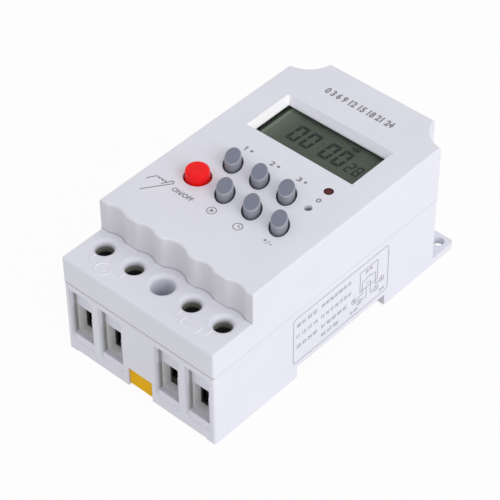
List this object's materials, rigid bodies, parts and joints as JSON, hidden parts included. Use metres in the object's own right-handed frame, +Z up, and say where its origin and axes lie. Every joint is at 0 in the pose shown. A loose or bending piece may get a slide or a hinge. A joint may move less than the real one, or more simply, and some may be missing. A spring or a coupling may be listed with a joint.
{
  "type": "digital timer switch",
  "caption": "Timer switch for a rail or wall: stepped casing, small display, round and oval keys, covered screw terminals, fixing ears and a sliding rail clip.",
  "frame": {"origin": "bottom centre of the whole part's bounding box, with the part lying on its back", "axes": "+X across the panel to the right, +Y from the terminals to the display, +Z up out of the panel"},
  "size_m": [0.065, 0.1206, 0.056],
  "materials": {
    "casing_plastic": "fine satin moulding",
    "key_plastic": "satin",
    "red_plastic": "semi-gloss",
    "yellow_plastic": "satin",
    "clear_plastic": "polished",
    "display_glass": "reflective liquid crystal",
    "black_plastic": "moulded",
    "plunger_plastic": "moulded",
    "contact_rubber": "striped",
    "lamp_resin": "clear resin",
    "spring_steel": "drawn wire",
    "plated_steel": "zinc plated",
    "copper": "rolled",
    "circuit_board": "solder resist",
    "chip_resin": "moulded",
    "bright_metal": "satin",
    "clip_metal": "stamped",
    "relay_plastic": "moulded",
    "capacitor_plastic": "moulded",
    "capacitor_sleeve": "shrunk sleeve",
    "varistor_coat": "dipped",
    "wire_sheath": "smooth"
  },
  "bodies": {
    "casing": {"top_cover": "casing_plastic", "base": "casing_plastic", "display_window": "clear_plastic", "lcd_cell": "display_glass", "lcd_holder": "black_plastic", "day_switch": "black_plastic", "hour_switch": "black_plastic", "minute_switch": "black_plastic", "program_switch": "black_plastic", "clock_switch": "black_plastic", "recall_switch": "black_plastic", "manual_switch": "black_plastic", "reset_switch": "black_plastic", "zebra_strip_near": "contact_rubber", "zebra_strip_far": "contact_rubber", "status_led": "lamp_resin", "clip_spring": "spring_steel", "casing_screws": "plated_steel", "board_screws": "plated_steel", "terminal_bar_1": "copper", "terminal_bar_2": "copper", "terminal_bar_3": "copper", "terminal_bar_4": "copper", "display_board": "circuit_board", "power_board": "circuit_board", "microcontroller": "chip_resin", "rectifier_diodes": "chip_resin", "clock_crystal": "bright_metal", "backup_battery": "bright_metal", "battery_clip": "clip_metal", "power_relay": "relay_plastic", "dropper_capacitor": "capacitor_plastic", "smoothing_capacitor": "capacitor_sleeve", "varistor": "varistor_coat", "ribbon_cable": "wire_sheath"},
    "day_key_body": {"day_key": "key_plastic", "day_plunger": "plunger_plastic"},
    "hour_key_body": {"hour_key": "key_plastic", "hour_plunger": "plunger_plastic"},
    "minute_key_body": {"minute_key": "key_plastic", "minute_plunger": "plunger_plastic"},
    "program_key_body": {"program_key": "key_plastic", "program_plunger": "plunger_plastic"},
    "clock_key_body": {"clock_key": "key_plastic", "clock_plunger": "plunger_plastic"},
    "recall_key_body": {"recall_key": "key_plastic", "recall_plunger": "plunger_plastic"},
    "manual_button_body": {"manual_button": "red_plastic", "manual_plunger": "plunger_plastic"},
    "reset_pin_body": {"reset_pin": "key_plastic", "reset_plunger": "plunger_plastic"},
    "terminal_screw_1_body": {"terminal_screw_1": "plated_steel"},
    "clamp_cage_1_body": {"clamp_cage_1": "plated_steel"},
    "terminal_screw_2_body": {"terminal_screw_2": "plated_steel"},
    "clamp_cage_2_body": {"clamp_cage_2": "plated_steel"},
    "terminal_screw_3_body": {"terminal_screw_3": "plated_steel"},
    "clamp_cage_3_body": {"clamp_cage_3": "plated_steel"},
    "terminal_screw_4_body": {"terminal_screw_4": "plated_steel"},
    "clamp_cage_4_body": {"clamp_cage_4": "plated_steel"},
    "rail_clip_body": {"rail_clip": "yellow_plastic"}
  },
  "joints": [
    {"name": "day_press", "type": "slide", "parent": "casing", "child": "day_key_body", "axis": [0, 0, -1], "range_m": [0, 0.0005], "stiffness_N_per_m": 1500, "springref_m": -0.0002},
    {"name": "hour_press", "type": "slide", "parent": "casing", "child": "hour_key_body", "axis": [0, 0, -1], "range_m": [0, 0.0005], "stiffness_N_per_m": 1500, "springref_m": -0.0002},
    {"name": "minute_press", "type": "slide", "parent": "casing", "child": "minute_key_body", "axis": [0, 0, -1], "range_m": [0, 0.0005], "stiffness_N_per_m": 1500, "springref_m": -0.0002},
    {"name": "program_press", "type": "slide", "parent": "casing", "child": "program_key_body", "axis": [0, 0, -1], "range_m": [0, 0.0005], "stiffness_N_per_m": 1500, "springref_m": -0.0002},
    {"name": "clock_press", "type": "slide", "parent": "casing", "child": "clock_key_body", "axis": [0, 0, -1], "range_m": [0, 0.0005], "stiffness_N_per_m": 1500, "springref_m": -0.0002},
    {"name": "recall_press", "type": "slide", "parent": "casing", "child": "recall_key_body", "axis": [0, 0, -1], "range_m": [0, 0.0005], "stiffness_N_per_m": 1500, "springref_m": -0.0002},
    {"name": "manual_press", "type": "slide", "parent": "casing", "child": "manual_button_body", "axis": [0, 0, -1], "range_m": [0, 0.0005], "stiffness_N_per_m": 1500, "springref_m": -0.0002},
    {"name": "reset_press", "type": "slide", "parent": "casing", "child": "reset_pin_body", "axis": [0, 0, -1], "range_m": [0, 0.0005], "stiffness_N_per_m": 1500, "springref_m": -0.0002},
    {"name": "screw_turn_1", "type": "hinge", "parent": "casing", "child": "terminal_screw_1_body", "pos_m": [-0.0254, -0.0481, 0.0264], "axis": [0, 0, -1], "range_deg": [0, 3343]},
    {"name": "cage_rise_1", "type": "slide", "parent": "casing", "child": "clamp_cage_1_body", "axis": [0, 0, 1], "range_m": [0, 0.0065]},
    {"name": "screw_turn_2", "type": "hinge", "parent": "casing", "child": "terminal_screw_2_body", "pos_m": [-0.0123, -0.0481, 0.0264], "axis": [0, 0, -1], "range_deg": [0, 3343]},
    {"name": "cage_rise_2", "type": "slide", "parent": "casing", "child": "clamp_cage_2_body", "axis": [0, 0, 1], "range_m": [0, 0.0065]},
    {"name": "screw_turn_3", "type": "hinge", "parent": "casing", "child": "terminal_screw_3_body", "pos_m": [0.0123, -0.0481, 0.0264], "axis": [0, 0, -1], "range_deg": [0, 3343]},
    {"name": "cage_rise_3", "type": "slide", "parent": "casing", "child": "clamp_cage_3_body", "axis": [0, 0, 1], "range_m": [0, 0.0065]},
    {"name": "screw_turn_4", "type": "hinge", "parent": "casing", "child": "terminal_screw_4_body", "pos_m": [0.0254, -0.0481, 0.0264], "axis": [0, 0, -1], "range_deg": [0, 3343]},
    {"name": "cage_rise_4", "type": "slide", "parent": "casing", "child": "clamp_cage_4_body", "axis": [0, 0, 1], "range_m": [0, 0.0065]},
    {"name": "clip_slide", "type": "slide", "parent": "casing", "child": "rail_clip_body", "axis": [0, -1, 0], "range_m": [0, 0.0045], "stiffness_N_per_m": 400, "springref_m": -0.004, "deforming": ["clip_spring"]}
  ],
  "couplings": [
    {"joint": "screw_turn_1", "follows": "cage_rise_1", "rad_per_m": 8976},
    {"joint": "screw_turn_2", "follows": "cage_rise_2", "rad_per_m": 8976},
    {"joint": "screw_turn_3", "follows": "cage_rise_3", "rad_per_m": 8976},
    {"joint": "screw_turn_4", "follows": "cage_rise_4", "rad_per_m": 8976}
  ]
}
